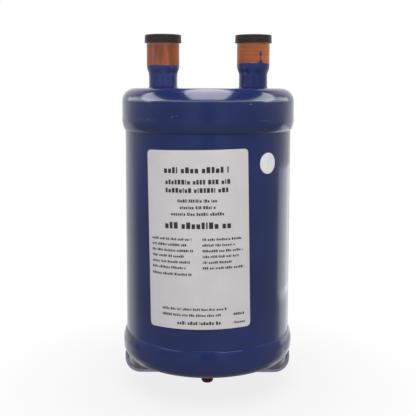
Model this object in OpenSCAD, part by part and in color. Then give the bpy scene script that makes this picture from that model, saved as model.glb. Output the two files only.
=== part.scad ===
// Suction line accumulator: a welded steel vessel with two belled copper connections,
// a pick-up tube inside and a strap foot with a mounting bolt underneath.
// Millimetres, +Z up. The origin is on the vessel's axis, at the underside of the foot.
// The label faces -Y, the inlet is at -X and the outlet is at +X.

/* [Vessel] */
// Outside diameter of the shell tube
shell_od = 130; // [116:1:160]
// Wall of the shell tube
shell_wall = 2.4; // [1.6:0.1:4]
// Wall of the two drawn caps
cap_wall = 2.4; // [1.6:0.1:4]
// Radial gap between the shell and the skirt of a cap
lap_gap = 0.05; // [0.02:0.01:0.2]
// Height over the flat faces of the two caps
vessel_height = 213.4; // [180:1:300]
// Depth of the top cap over its flat face
top_cap_depth = 25.4; // [18:0.1:40]
// Depth of the bottom cap over its flat face
bottom_cap_depth = 15.4; // [14.6:0.1:40]
// Outer radius of the knuckle round each cap
knuckle_r = 10.2; // [6:0.1:12]
// Distance from the end of the knuckle to the end of the shell
shell_seat = 0.9; // [0.3:0.1:3]

/* [Welds] */
// Reach of a circumferential weld up the skirt of a cap
weld_on_cap = 4.6; // [2:0.1:7]
// Reach of a circumferential weld along the shell
weld_on_shell = 7; // [3:0.1:12]
// Rise of a weld's crown over the line between its two toes
weld_crown = 1.45; // [1:0.05:2.5]
// Leg of the braze fillet round each connection
braze_leg = 1.8; // [0.8:0.1:4]
// Hollow of the braze fillet under the line between its two toes
braze_hollow = 0.35; // [0.1:0.05:0.6]

/* [Connections] */
// Distance between the axes of the two connections
stub_spacing = 70.8; // [60:0.1:80]
// Outside diameter of the connection tube
tube_od = 22.2; // [16:0.1:28]
// Wall of the connection tube
tube_wall = 1.1; // [0.8:0.1:2]
// Solder gap on the radius, in the sockets and where a tube passes through a cap
solder_gap = 0.05; // [0.03:0.01:0.15]
// Wall of the belled socket
bell_wall = 1.6; // [1:0.1:2.5]
// Depth of the solder socket
socket_depth = 22; // [14:0.5:30]
// Straight neck between the top cap and the flare
neck_height = 10.1; // [5:0.1:30]
// Height of the flare between neck and bell
flare_height = 7; // [3:0.1:14]
// Distance from the end of the flare outside to the stop of the socket inside
socket_stop = 1.2; // [0.5:0.1:3]
// Reach of a connection tube below the inside of the top cap
stub_inside = 26; // [18:0.5:40]

/* [Pick-up tube] */
// Radius of the bend, on the tube's centre line
bend_r = 30; // [26:0.5:34]
// Direction of the bend from the outlet, seen from above
bend_turn = 145; // [130:1:160]
// Gap between the bend and the inside of the bottom cap
floor_gap = 6; // [4:0.1:12]
// Gap between the open end of the tube and the inside of the top cap
open_end_gap = 14; // [8:0.5:40]
// Overlap of the tube's bell on the outlet connection
joint_lap = 12; // [6:0.5:16]
// Diameter of the oil metering orifice under the bend
orifice_d = 1.6; // [0.8:0.1:3]
// Diameter of the anti-siphon hole in the outlet leg
vent_d = 2.4; // [1:0.1:4]
// Distance from the end of the outlet connection down to the anti-siphon hole
vent_drop = 18; // [12:0.5:30]

/* [Inner fittings] */
// Sheet thickness of the inlet deflector
deflector_wall = 1.2; // [0.8:0.1:2]
// Overlap of the deflector on the inlet connection
deflector_lap = 9; // [5:0.5:14]
// Height of the deflector's window below the inlet connection
window_height = 17; // [8:0.5:30]
// Distance from the window down to the floor of the deflector
deflector_sump = 3; // [1:0.5:8]
// Outside diameter of the oil strainer
strainer_od = 13; // [9:0.5:18]
// Wall of the oil strainer
strainer_wall = 0.8; // [0.5:0.1:1.5]
// Gap between the oil strainer and the inside of the bottom cap
strainer_gap = 0.9; // [0.3:0.1:2]
// Number of slots round the oil strainer
strainer_slots = 10; // [6:1:14]
// Width of one strainer slot
slot_width = 1; // [0.5:0.1:1.6]
// Height of one strainer slot
slot_height = 2.2; // [1:0.1:2.6]
// Thickness of the plate that ties the legs of the pick-up tube
brace_thick = 2; // [1:0.1:4]
// Width of the plate's rim round each leg
brace_rim = 5; // [3:0.5:8]
// Height of the plate over the end of the bend
brace_rise = 62; // [20:1:80]

/* [Foot] */
// Width of the foot strap
foot_width = 25; // [18:0.5:40]
// Thickness of the foot strap
foot_thick = 3; // [2.5:0.1:6]
// Outer radius of the bends in the foot strap
foot_bend_r = 12; // [8:0.5:14]
// Gap between the foot strap and the flat face of the bottom cap
foot_gap = 10.7; // [6.8:0.1:12]
// Height of the strap's ends over the flat face of the bottom cap
foot_end_rise = 3; // [0.6:0.1:3]
// Distance of the strap's ends inside the side of the bottom cap
foot_set_in = 1.7; // [1:0.1:3]
// Radius of the weld bead along each end of the strap
foot_weld_r = 3; // [2:0.1:4]

/* [Mounting bolt] */
// Thread diameter
bolt_d = 8; // [6:1:10]
// Length under the head
bolt_length = 14; // [13:1:30]
// Width over the flats of the head
bolt_af = 13; // [10:0.5:17]
// Height of the head
bolt_head = 5.3; // [4:0.1:6.4]
// Diameter of the clearance hole in the strap
bolt_hole_d = 8.6; // [8.2:0.1:10.6]
// Chamfer at the end of the thread
bolt_chamfer = 0.9; // [0.4:0.1:1.5]

/* [Transit caps] */
// Sliding gap of a transit cap on its seat, on the radius
cap_slide = 0.05; // [0.02:0.01:0.1]
// Gap between the end of a tube or thread and the inside of its transit cap
cap_end_gap = 0.1; // [0.05:0.05:0.5]
// Wall of the dust caps
dust_wall = 1.5; // [0.8:0.1:2.5]
// Thickness of the top of the dust caps
dust_top = 1.0; // [0.8:0.1:2.5]
// Reach of the dust caps down the bell
dust_reach = 5.2; // [3:0.1:14]
// Height of the bead round the open edge of the dust caps
dust_bead = 1.1; // [0.6:0.1:1.6]
// Rise of that bead over the side of the cap
dust_bead_rise = 0.25; // [0.1:0.05:0.5]
// Radius of the top edge of the dust caps
dust_edge_r = 0.9; // [0.3:0.1:1.1]
// Wall of the thread cap
thread_cap_wall = 0.75; // [0.5:0.05:1.5]
// Thickness of the closed end of the thread cap
thread_cap_end = 1.2; // [0.8:0.1:2]
// Reach of the thread cap up the bolt
thread_cap_reach = 8.4; // [5:0.1:8.8]
// Radius of the closed end's edge
thread_cap_edge_r = 2.2; // [1:0.1:2.6]

/* [Label and sticker] */
// Thickness of the films
film_thick = 0.15; // [0.05:0.05:0.4]
// Layer of adhesive under the films
film_glue = 0.05; // [0.03:0.01:0.1]
// Width of the label round the shell
label_width = 78.6; // [40:0.1:110]
// Distance from the top weld to the label
label_top_margin = 11.3; // [4:0.1:60]
// Distance from the bottom weld to the label
label_bottom_margin = 16.3; // [4:0.1:60]
// Corner radius of the label
label_corner_r = 3; // [1:0.1:8]
// Place of the label round the shell, from the front
label_turn = -6.9; // [-20:0.1:0]
// Lean of the label, right side up
label_lean = 1.3; // [-2:0.1:2]
// Diameter of the round sticker
sticker_d = 15.6; // [8:0.1:18]
// Place of the sticker round the shell, from the front
sticker_turn = 42.6; // [40:0.1:90]
// Distance from the top weld to the sticker's centre
sticker_drop = 22.1; // [12:0.1:80]

/* [Hidden] */
$fn = 180;
// Steps along the curve of a flare
flare_steps = 10;
// Overrun of a cutting tool past the face that it cuts
overrun = 1;

// Radii of the vessel
shell_r = shell_od / 2;
cap_inner_r = shell_r + lap_gap;
cap_r = cap_inner_r + cap_wall;

// Heights of the vessel
bottom_face = foot_thick + foot_gap;
top_face = bottom_face + vessel_height;
inside_floor = bottom_face + cap_wall;
inside_roof = top_face - cap_wall;
bottom_rim = bottom_face + bottom_cap_depth;
top_rim = top_face - top_cap_depth;
shell_bottom = bottom_face + knuckle_r + shell_seat;
shell_top = top_face - knuckle_r - shell_seat;
bottom_weld_end = bottom_rim + weld_on_shell;
top_weld_end = top_rim - weld_on_shell;

// Connections
stub_x = stub_spacing / 2;
tube_r = tube_od / 2;
tube_bore_r = tube_r - tube_wall;
socket_r = tube_r + solder_gap;
bell_r = socket_r + bell_wall;
stub_end = inside_roof - stub_inside;
flare_bottom = top_face + neck_height;
bell_top = flare_bottom + flare_height + socket_stop + socket_depth;

// Pick-up tube
joint_bell_r = socket_r + tube_wall;
bend_z = inside_floor + floor_gap + tube_r + bend_r;
leg_span = 2 * bend_r;
bend_middle = [stub_x + bend_r * cos(bend_turn), bend_r * sin(bend_turn)];
joint_flare = flare_height / 2;
open_end = inside_roof - open_end_gap;

// Inner fittings
deflector_r = socket_r + deflector_wall;
window_bottom = stub_end - window_height;
strainer_floor = inside_floor + strainer_gap;
bend_underside = bend_z - bend_r - tube_r;
brace_z = bend_z + brace_rise;
leg_hole_r = tube_r + solder_gap;

// Foot and bolt
foot_half = cap_r - foot_set_in;
foot_end = bottom_face + foot_end_rise;
bolt_r = bolt_d / 2;
bolt_tip = foot_thick - bolt_length;

// Transit caps
dust_inner_r = bell_r + cap_slide;
dust_r = dust_inner_r + dust_wall;
dust_low = bell_top - dust_reach;
dust_depth = dust_reach + cap_end_gap + dust_top;
thread_cap_bore_r = bolt_r + cap_slide;
thread_cap_r = thread_cap_bore_r + thread_cap_wall;
thread_cap_depth = thread_cap_reach + cap_end_gap + thread_cap_end;
thread_cap_low = bolt_tip - cap_end_gap - thread_cap_end;

// Label and sticker
label_bottom = bottom_weld_end + label_bottom_margin;
label_top = top_weld_end - label_top_margin;
label_chord = shell_od * sin(label_width / shell_od * 180 / PI);
sticker_z = top_weld_end - sticker_drop;

// Finishes
enamel_blue = [0.13, 0.17, 0.40];
copper = [0.72, 0.43, 0.30];
bare_steel = [0.55, 0.55, 0.56];
zinc = [0.72, 0.72, 0.70];
film_grey = [0.80, 0.79, 0.81];
foil_silver = [0.88, 0.88, 0.90];
cap_black = [0.10, 0.10, 0.10];
cap_red = [0.42, 0.04, 0.05];

// Circle through two points whose arc rises by sag to the left of the line from p to q
function arc_radius(p, q, sag) = (pow(norm(q - p) / 2, 2) + sag * sag) / (2 * sag);
function left_of(p, q) = [p[1] - q[1], q[0] - p[0]] / norm(q - p);
function arc_centre(p, q, sag) = (p + q) / 2 + left_of(p, q) * (sag - arc_radius(p, q, sag));

// Smooth change of radius from r0 to r1 over the height h
function flare(r0, r1, z0, h) = [
    for (i = [0 : flare_steps]) let (t = i / flare_steps)
        [r0 + (r1 - r0) * (1 - cos(180 * t)) / 2, z0 + h * t]
];

// Half sections of a tube with a belled socket at its upper end: its outside and its bore
function bell_outside(low, flare_z, flare_h, stop, depth, outer_r) = concat(
    [[0, low], [tube_r, low]],
    flare(tube_r, outer_r, flare_z, flare_h),
    [[outer_r, flare_z + flare_h + stop + depth], [0, flare_z + flare_h + stop + depth]]
);
function bell_bore(low, flare_z, flare_h, stop, depth) = concat(
    [[0, low], [tube_bore_r, low]],
    flare(tube_bore_r, socket_r, flare_z + stop, flare_h),
    [[socket_r, flare_z + flare_h + stop + depth + overrun],
     [0, flare_z + flare_h + stop + depth + overrun]]
);

// Half section of a plug with its flat end up and a rounded edge there
module rounded_plug(radius, height, edge_r) {
    square([radius - edge_r, height]);
    square([radius, height - edge_r]);
    translate([radius - edge_r, height - edge_r]) intersection() {
        circle(edge_r);
        square(edge_r);
    }
}

// Half section of a drawn cap, open downwards, with its flat face at the top
module cap_section(depth) {
    difference() {
        rounded_plug(cap_r, depth, knuckle_r);
        translate([0, -overrun])
            rounded_plug(cap_inner_r, depth - cap_wall + overrun, knuckle_r - cap_wall);
    }
}

module shell() {
    color(enamel_blue) translate([0, 0, shell_bottom]) difference() {
        cylinder(r = shell_r, h = shell_top - shell_bottom);
        translate([0, 0, -overrun])
            cylinder(r = shell_r - shell_wall, h = shell_top - shell_bottom + 2 * overrun);
    }
}

module top_cap() {
    color(enamel_blue) difference() {
        translate([0, 0, top_rim]) rotate_extrude() cap_section(top_cap_depth);
        for (x = [-stub_x, stub_x])
            translate([x, 0, inside_roof - overrun])
                cylinder(r = leg_hole_r, h = cap_wall + 2 * overrun);
    }
}

module bottom_cap() {
    color(enamel_blue) translate([0, 0, bottom_rim]) mirror([0, 0, 1])
        rotate_extrude() cap_section(bottom_cap_depth);
}

// Outer form of the bottom cap, to cope what is welded to it
module bottom_cap_form() {
    translate([0, 0, bottom_rim]) mirror([0, 0, 1])
        rotate_extrude() rounded_plug(cap_r, bottom_cap_depth, knuckle_r);
}

// Convex weld round the lap, with the rim of the cap at z = 0 and the cap above it
module lap_weld() {
    cap_toe = [cap_r, weld_on_cap];
    shell_toe = [shell_r, -weld_on_shell];
    rotate_extrude() difference() {
        intersection() {
            translate(arc_centre(cap_toe, shell_toe, weld_crown))
                circle(arc_radius(cap_toe, shell_toe, weld_crown));
            translate([shell_r, -weld_on_shell - overrun])
                square([cap_r - shell_r + weld_crown + overrun,
                        weld_on_shell + weld_on_cap + 2 * overrun]);
        }
        translate([shell_r, 0]) square([cap_r - shell_r, weld_on_cap + 2 * overrun]);
    }
}

module top_weld_bead() {
    color(enamel_blue) translate([0, 0, top_rim]) lap_weld();
}

module bottom_weld_bead() {
    color(enamel_blue) translate([0, 0, bottom_rim]) mirror([0, 0, 1]) lap_weld();
}

module stub(x) {
    color(copper) translate([x, 0, 0]) rotate_extrude() difference() {
        polygon(bell_outside(stub_end, flare_bottom, flare_height, socket_stop, socket_depth,
                             bell_r));
        polygon(bell_bore(stub_end - overrun, flare_bottom, flare_height, socket_stop,
                          socket_depth));
    }
}

module inlet_stub() { stub(-stub_x); }

module outlet_stub() { stub(stub_x); }

// Hollow fillet of braze between a connection and the top cap
module braze_ring(x) {
    cap_toe = [tube_r + braze_leg, 0];
    tube_toe = [tube_r, braze_leg];
    color(enamel_blue) translate([x, 0, top_face]) rotate_extrude() difference() {
        polygon([[tube_r, 0], cap_toe, tube_toe]);
        translate(arc_centre(tube_toe, cap_toe, -braze_hollow))
            circle(abs(arc_radius(tube_toe, cap_toe, -braze_hollow)));
    }
}

module inlet_braze_ring() { braze_ring(-stub_x); }

module outlet_braze_ring() { braze_ring(stub_x); }

// Cup on the inlet's lower end, with a window that turns the flow onto the shell wall
module inlet_deflector() {
    cup_low = window_bottom - deflector_sump - deflector_wall;
    color(bare_steel) translate([-stub_x, 0, 0]) difference() {
        translate([0, 0, cup_low])
            cylinder(r = deflector_r, h = stub_end + deflector_lap - cup_low);
        translate([0, 0, cup_low + deflector_wall])
            cylinder(r = socket_r, h = stub_end + deflector_lap - cup_low);
        translate([-deflector_r - overrun, -deflector_r - overrun, window_bottom])
            cube([deflector_r + overrun, 2 * (deflector_r + overrun), window_height]);
    }
}

// Places its children in the upright plane of the bend, with x along the span of the legs
module in_bend_plane() {
    translate([bend_middle[0], bend_middle[1], bend_z]) rotate([0, 0, bend_turn])
        rotate([90, 0, 0]) children();
}

// The lower half turn of the pick-up tube, as a bar of the given radius
module bend_bar(radius) {
    in_bend_plane() rotate([0, 0, 180]) rotate_extrude(angle = 180)
        translate([bend_r, 0]) circle(radius);
}

// Stands its children on an end of the bend: the outlet's leg is at -1 and the open leg at 1
module on_leg(side) {
    in_bend_plane() translate([side * bend_r, 0, 0]) rotate([-90, 0, 0]) children();
}

module u_tube() {
    joint_z = stub_end - joint_flare - socket_stop - bend_z;
    leg_length = open_end - bend_z;
    color(copper) difference() {
        union() {
            on_leg(-1) rotate_extrude()
                polygon(bell_outside(0, joint_z, joint_flare, socket_stop, joint_lap, joint_bell_r));
            bend_bar(tube_r);
            on_leg(1) cylinder(r = tube_r, h = leg_length);
        }
        union() {
            on_leg(-1) rotate_extrude()
                polygon(bell_bore(0, joint_z, joint_flare, socket_stop, joint_lap));
            bend_bar(tube_bore_r);
            on_leg(1) cylinder(r = tube_bore_r, h = leg_length + overrun);
        }
        translate([bend_middle[0], bend_middle[1], bend_underside - overrun])
            cylinder(d = orifice_d, h = tube_wall + 2 * overrun);
        translate([stub_x, 0, stub_end - vent_drop]) rotate([0, 90, 0])
            cylinder(d = vent_d, h = tube_od);
    }
}

// Slotted thimble round the orifice, coped to the underside of the bend
module oil_strainer() {
    strainer_r = strainer_od / 2;
    strainer_top = bend_underside + tube_r / 2;
    color(zinc) difference() {
        translate([bend_middle[0], bend_middle[1], strainer_floor]) difference() {
            cylinder(r = strainer_r, h = strainer_top - strainer_floor);
            translate([0, 0, strainer_wall])
                cylinder(r = strainer_r - strainer_wall, h = strainer_top);
            for (i = [0 : strainer_slots - 1])
                rotate(i * 360 / strainer_slots)
                    translate([0, -slot_width / 2, 2 * strainer_wall])
                        cube([strainer_od, slot_width, slot_height]);
        }
        bend_bar(tube_r + solder_gap);
    }
}

// Plate that ties the two legs of the pick-up tube together
module tube_brace() {
    pad_r = leg_hole_r + brace_rim;
    color(bare_steel) translate([bend_middle[0], bend_middle[1], brace_z])
        rotate([0, 0, bend_turn]) linear_extrude(brace_thick) difference() {
            union() {
                square([leg_span, 2 * brace_rim + tube_r], center = true);
                for (x = [-bend_r, bend_r]) translate([x, 0]) circle(pad_r);
            }
            for (x = [-bend_r, bend_r]) translate([x, 0]) circle(leg_hole_r);
        }
}

// Outline of the strap's bent channel, inset from its outer face
module channel(inset) {
    half = foot_half - inset;
    corner = foot_bend_r - inset;
    translate([-half, foot_bend_r]) square([2 * half, foot_end]);
    translate([corner - half, inset]) square([2 * (half - corner), foot_end]);
    for (side = [-1, 1]) translate([side * (half - corner), foot_bend_r]) circle(corner);
}

// The bent bar before it is coped to the cap and drilled
module strap_bar() {
    rotate([90, 0, 0]) linear_extrude(foot_width, center = true) intersection() {
        difference() {
            channel(0);
            channel(foot_thick);
        }
        translate([-foot_half, 0]) square([2 * foot_half, foot_end]);
    }
}

module foot_strap() {
    color(enamel_blue) difference() {
        strap_bar();
        bottom_cap_form();
        translate([0, 0, -overrun]) cylinder(d = bolt_hole_d, h = foot_thick + 2 * overrun);
    }
}

// Weld bead on the end of the strap, flush with its outer face
module foot_weld(side) {
    color(enamel_blue) intersection() {
        difference() {
            translate([side * (foot_half - foot_weld_r), 0, foot_end]) rotate([90, 0, 0])
                cylinder(r = foot_weld_r, h = foot_width, center = true);
            bottom_cap_form();
        }
        translate([side * cap_r, 0, foot_end + foot_weld_r])
            cube([2 * knuckle_r, foot_width, 2 * foot_weld_r], center = true);
    }
}

module foot_weld_left() { foot_weld(-1); }

module foot_weld_right() { foot_weld(1); }

module mounting_bolt() {
    corner_r = bolt_af / 2 / cos(30);
    head_cone_r = bolt_af / 2 + bolt_head / tan(30);
    color(zinc) {
        translate([0, 0, foot_thick]) intersection() {
            cylinder(r = corner_r, h = bolt_head, $fn = 6);
            cylinder(r1 = head_cone_r, r2 = bolt_af / 2 * 0.96, h = bolt_head);
        }
        translate([0, 0, bolt_tip + bolt_chamfer])
            cylinder(r = bolt_r, h = bolt_length - bolt_chamfer);
        translate([0, 0, bolt_tip])
            cylinder(r1 = bolt_r - bolt_chamfer, r2 = bolt_r, h = bolt_chamfer);
    }
}

// Patch of film on the shell: its outline is seen along the radius at the given turn
module film_patch(turn, centre_z) {
    rotate(turn) intersection() {
        translate([0, 0, bottom_weld_end]) difference() {
            cylinder(r = shell_r + film_glue + film_thick, h = top_weld_end - bottom_weld_end);
            cylinder(r = shell_r + film_glue, h = top_weld_end - bottom_weld_end);
        }
        translate([0, 0, centre_z]) rotate([90, 0, 0]) linear_extrude(shell_od) children();
    }
}

module rating_label() {
    height = label_top - label_bottom;
    color(film_grey) film_patch(label_turn, (label_top + label_bottom) / 2) rotate(label_lean) {
        square([label_chord - 2 * label_corner_r, height], center = true);
        square([label_chord, height - 2 * label_corner_r], center = true);
        for (x = [-1, 1], y = [-1, 1])
            translate([x * (label_chord / 2 - label_corner_r), y * (height / 2 - label_corner_r)])
                circle(label_corner_r);
    }
}

module round_sticker() {
    color(foil_silver) film_patch(sticker_turn, sticker_z) circle(d = sticker_d);
}

// Push-on cap over a belled socket, with a bead round its open edge
module dust_cap(x) {
    bead_r = dust_bead / 2;
    color(cap_black) translate([x, 0, dust_low]) rotate_extrude() difference() {
        union() {
            rounded_plug(dust_r, dust_depth, dust_edge_r);
            square([dust_r + dust_bead_rise - bead_r, dust_bead]);
            translate([dust_r + dust_bead_rise - bead_r, bead_r]) circle(bead_r);
        }
        translate([0, -overrun]) square([dust_inner_r, dust_depth - dust_top + overrun]);
    }
}

module inlet_dust_cap() { dust_cap(-stub_x); }

module outlet_dust_cap() { dust_cap(stub_x); }

// Round-ended cap over the thread of the bolt, open upwards
module bolt_thread_cap() {
    color(cap_red) translate([0, 0, thread_cap_low + thread_cap_depth]) mirror([0, 0, 1])
        rotate_extrude() difference() {
            rounded_plug(thread_cap_r, thread_cap_depth, thread_cap_edge_r);
            translate([0, -overrun])
                rounded_plug(thread_cap_bore_r, thread_cap_depth - thread_cap_end + overrun,
                             bolt_chamfer);
        }
}

shell();
top_cap();
bottom_cap();
top_weld_bead();
bottom_weld_bead();
inlet_stub();
outlet_stub();
inlet_braze_ring();
outlet_braze_ring();
inlet_deflector();
u_tube();
oil_strainer();
tube_brace();
foot_strap();
foot_weld_left();
foot_weld_right();
mounting_bolt();
rating_label();
round_sticker();
inlet_dust_cap();
outlet_dust_cap();
bolt_thread_cap();
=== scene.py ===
"""Suction line accumulator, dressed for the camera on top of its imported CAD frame."""
import functools
import math
import random

import bpy
from bpy.props import FloatProperty, FloatVectorProperty, PointerProperty
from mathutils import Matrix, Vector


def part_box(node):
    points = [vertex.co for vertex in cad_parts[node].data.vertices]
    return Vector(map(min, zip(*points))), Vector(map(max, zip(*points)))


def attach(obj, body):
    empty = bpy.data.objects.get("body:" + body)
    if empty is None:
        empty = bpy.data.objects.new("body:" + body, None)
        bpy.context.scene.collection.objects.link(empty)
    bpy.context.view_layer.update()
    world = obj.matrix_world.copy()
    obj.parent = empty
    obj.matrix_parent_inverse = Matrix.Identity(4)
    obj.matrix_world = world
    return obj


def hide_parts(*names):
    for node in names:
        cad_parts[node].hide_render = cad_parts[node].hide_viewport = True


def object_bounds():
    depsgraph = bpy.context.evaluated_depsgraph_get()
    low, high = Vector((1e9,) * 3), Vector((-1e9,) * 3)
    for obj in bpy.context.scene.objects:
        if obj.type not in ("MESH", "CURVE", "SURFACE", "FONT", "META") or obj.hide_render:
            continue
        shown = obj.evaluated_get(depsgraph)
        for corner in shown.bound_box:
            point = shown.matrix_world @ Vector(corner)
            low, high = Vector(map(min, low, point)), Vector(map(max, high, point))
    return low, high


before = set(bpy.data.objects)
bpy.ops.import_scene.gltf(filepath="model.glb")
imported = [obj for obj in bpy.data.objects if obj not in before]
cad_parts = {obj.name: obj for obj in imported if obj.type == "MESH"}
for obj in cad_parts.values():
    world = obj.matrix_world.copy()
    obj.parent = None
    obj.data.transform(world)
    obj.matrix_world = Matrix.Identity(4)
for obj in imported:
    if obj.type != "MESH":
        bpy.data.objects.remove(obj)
CAD_BOX = [list(corner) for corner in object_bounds()]

bl_info = {
    "name": "Suction Line Accumulator",
    "version": (1, 0, 0),
    "blender": (4, 5, 0),
    "location": "View3D > Sidebar > Accumulator",
    "description": "Models a welded refrigerant accumulator with copper connections and a strap foot",
    "category": "Mesh",
}

MM = 0.001
ROUND_STEPS = 192
SMALL_STEPS = 96
# Dried drops of paint on the top cap: angle from the front, height, half width, half height in mm, tilt.
PAINT_NIBS = ((26.6, 215.7, 1.3, 0.9, 0), (-20.7, 207.0, 2.4, 0.5, -14))
NIB_DEPTH = 0.55
# Gap of a soldered joint, length of a cutter that goes right through a wall, and width of the columns
# that a film is cut into before it is wrapped.
SOLDER_GAP = 0.05 * MM
CUTTER = 30 * MM
FILM_COLUMN = 1.2 * MM
# A noise texture at this scale has grains about one unit across.
GRAIN = 0.5


def linear(code):
    """Turns an sRGB hex colour into the linear values that Blender works in."""
    parts = [int(code[i:i + 2], 16) / 255 for i in (1, 3, 5)]
    return tuple(c / 12.92 if c <= 0.04045 else ((c + 0.055) / 1.055) ** 2.4 for c in parts)


def colour(code, name, description):
    """A colour setting with its default given as a hex code."""
    return FloatVectorProperty(
        name=name, description=description, subtype="COLOR", size=3, min=0, max=1, default=linear(code))


def length(millimetres, name, description):
    """A length setting with its default given in millimetres."""
    return FloatProperty(
        name=name, description=description, subtype="DISTANCE", unit="LENGTH", precision=5,
        default=millimetres * MM)


class AccumulatorSizes(bpy.types.PropertyGroup):
    """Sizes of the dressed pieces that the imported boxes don't give."""
    cap_wall: length(2.4, "Cap wall", "Sheet thickness of the drawn caps and of the shell")
    knuckle: length(10.2, "Knuckle radius", "Outer radius of the bend round each cap")
    weld_crown: length(0.22, "Weld crown", "Height of a lap weld over the cap's wall")
    weld_wave: length(0.32, "Weld waviness", "Height of the slow waves along a lap weld")
    tube_wall: length(1.1, "Tube wall", "Wall of the copper connections")
    bell_wall: length(1.6, "Bell wall", "Wall of the belled sockets")
    neck_top: length(237.2, "Neck height", "Height at which the neck starts to flare")
    flare: length(7.0, "Flare", "Height of the flare between neck and bell")
    paint_inlet: length(244.8, "Inlet paint line", "Height of the enamel's edge on the inlet")
    paint_outlet: length(246.6, "Outlet paint line", "Height of the enamel's edge on the outlet")
    run_length: length(11.2, "Paint run", "Reach of the paint run over the edge on the outlet")
    run_side: length(4.9, "Paint run side", "Place of the paint run to the right of the outlet's axis")
    strap_thick: length(3.0, "Strap thickness", "Thickness of the foot strap")
    strap_bend: length(12.0, "Strap bend", "Outer radius of the bends in the foot strap")
    strap_edge: length(1.4, "Strap edge", "Rounding of the strap's rolled edges")
    pitch: length(1.25, "Thread pitch", "Distance from one ridge of the bolt's thread to the next")
    label_width: length(78.6, "Label width", "Width of the label round the shell")
    label_height: length(131.0, "Label height", "Height of the label")
    label_corner: length(3.0, "Label corner", "Corner radius of the label")
    film: length(0.15, "Film thickness", "Thickness of the label and of the sticker")
    glue: length(0.05, "Adhesive", "Layer of adhesive under the films")
    sticker: length(15.6, "Sticker", "Diameter of the round sticker")


class AccumulatorColours(bpy.types.PropertyGroup):
    """Colours of the finishes."""
    enamel: colour("#1A2652", "Enamel", "Dark blue gloss enamel")
    enamel_thin: colour("#1E2C5F", "Thin enamel", "The same enamel where its film is thinner")
    # Lighter than the vessel's enamel: painted reflection that stands in for the brighter gloss of the
    # connections.
    enamel_stub: colour("#364072", "Stub enamel", "Enamel where the spray only brushed the connections")
    # Paler and greyer than the vessel's enamel: painted reflection of the pale room on the foot.
    enamel_foot: colour("#686A7E", "Foot enamel", "Dusty enamel on the foot, where little spray reached")
    copper: colour("#BC6D50", "Copper", "Bare drawn copper")
    copper_orange: colour("#C06C42", "Orange copper", "Copper cleaned by turning")
    copper_rose: colour("#B06959", "Rosy copper", "Copper with a thin pink oxide")
    # Tone towards which each connection turns lighter and more orange on its right side.
    copper_warm: colour("#E4824A", "Warm copper", "Copper on the side that the torch kept clean")
    # Clean copper under the dust caps, also used for the painted light band just below their lips.
    copper_clean_and_painted_light: colour("#DC9A7A", "Clean copper", "Copper under the dust caps")
    copper_brown: colour("#744434", "Brown copper", "Copper with a heavier oxide")
    polyethylene: colour("#352D2D", "Polyethylene", "Black dust caps")
    vinyl: colour("#75120F", "Vinyl", "Dark red thread cap")
    film: colour("#CAC6C8", "Label film", "Silver-grey polyester film")
    ink: colour("#2C2B2F", "Ink", "Print on the label")
    # Lifted near white to make up for the little light on the sticker's turned face: painted light.
    foil: colour("#F2EEEF", "Foil", "Pale silver foil of the sticker")
    zinc: colour("#B4B3AC", "Zinc", "Zinc plate on the bolt")
    steel: colour("#8C8C8F", "Steel", "Bare cold rolled steel inside the vessel")


class AccumulatorStage(bpy.types.PropertyGroup):
    """Camera and light."""
    camera: FloatVectorProperty(
        name="Camera", description="Place of the camera", subtype="XYZ", unit="LENGTH", precision=5,
        default=(0.00033, -0.604, 0.22885))
    lens: FloatProperty(
        name="Lens", description="Focal length", unit="CAMERA", default=65.95)
    pitch: FloatProperty(
        name="Pitch", description="Downward tilt of the camera", subtype="ANGLE", unit="ROTATION",
        default=math.radians(5.95))
    roll: FloatProperty(
        name="Roll", description="Turn of the camera about its line of sight", subtype="ANGLE",
        unit="ROTATION", default=math.radians(-0.16))
    shift: FloatVectorProperty(
        name="Shift", description="Shift of the frame to the right and upwards", size=2,
        default=(-0.0012, -0.1024))
    key: FloatProperty(
        name="Key", description="Power of the softbox over the camera", unit="POWER", default=15.0)
    ceiling: FloatProperty(
        name="Ceiling", description="Radiance of the white panels that the gloss mirrors",
        default=7.5, min=0)
    strip: FloatProperty(
        name="Strip", description="Power of the strip light at the right", unit="POWER", default=0.078)
    fill: FloatProperty(
        name="Fill", description="Strength of the room's light on the object", default=0.45, min=0)


# Modelling helpers


def deselect():
    """Leaves nothing selected and nothing active, in object mode."""
    bpy.ops.object.select_all(action="DESELECT")
    bpy.context.view_layer.objects.active = None


def only(piece):
    """Selects one piece alone and makes it active."""
    deselect()
    piece.select_set(True)
    bpy.context.view_layer.objects.active = piece


def named(name):
    """Gives the piece that was just added its name."""
    piece = bpy.context.object
    piece.name = name
    piece.data.name = name
    return piece


def add(name, operator, **settings):
    """Adds a mesh by one of Blender's operators, under its name."""
    deselect()
    operator(**settings)
    return named(name)


def settle(piece):
    """Puts a piece's place, turn and scale into its mesh."""
    only(piece)
    bpy.ops.object.transform_apply(location=True, rotation=True, scale=True)


def edit(piece):
    """Opens one piece in edit mode with all of it selected."""
    only(piece)
    bpy.ops.object.mode_set(mode="EDIT")
    bpy.ops.mesh.select_all(action="SELECT")


def close_up(piece, angle=35, merge=1e-6):
    """Merges doubles, turns the faces outwards and smooths all but the sharp edges."""
    edit(piece)
    bpy.ops.mesh.remove_doubles(threshold=merge)
    bpy.ops.mesh.normals_make_consistent(inside=False)
    bpy.ops.object.mode_set(mode="OBJECT")
    bpy.ops.object.shade_smooth_by_angle(angle=math.radians(angle))


def chain(name, points):
    """Draws a chain of edges through points, from one vertex that is extruded on and on."""
    piece = add(name, bpy.ops.mesh.primitive_plane_add, size=MM, location=points[0])
    settle(piece)
    edit(piece)
    bpy.ops.mesh.merge(type="CENTER")
    for here, there in zip(points, points[1:]):
        step = tuple(b - a for a, b in zip(here, there))
        bpy.ops.mesh.extrude_region_move(TRANSFORM_OT_translate={"value": step})
    bpy.ops.mesh.select_all(action="SELECT")
    bpy.ops.object.mode_set(mode="OBJECT")
    return piece


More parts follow.
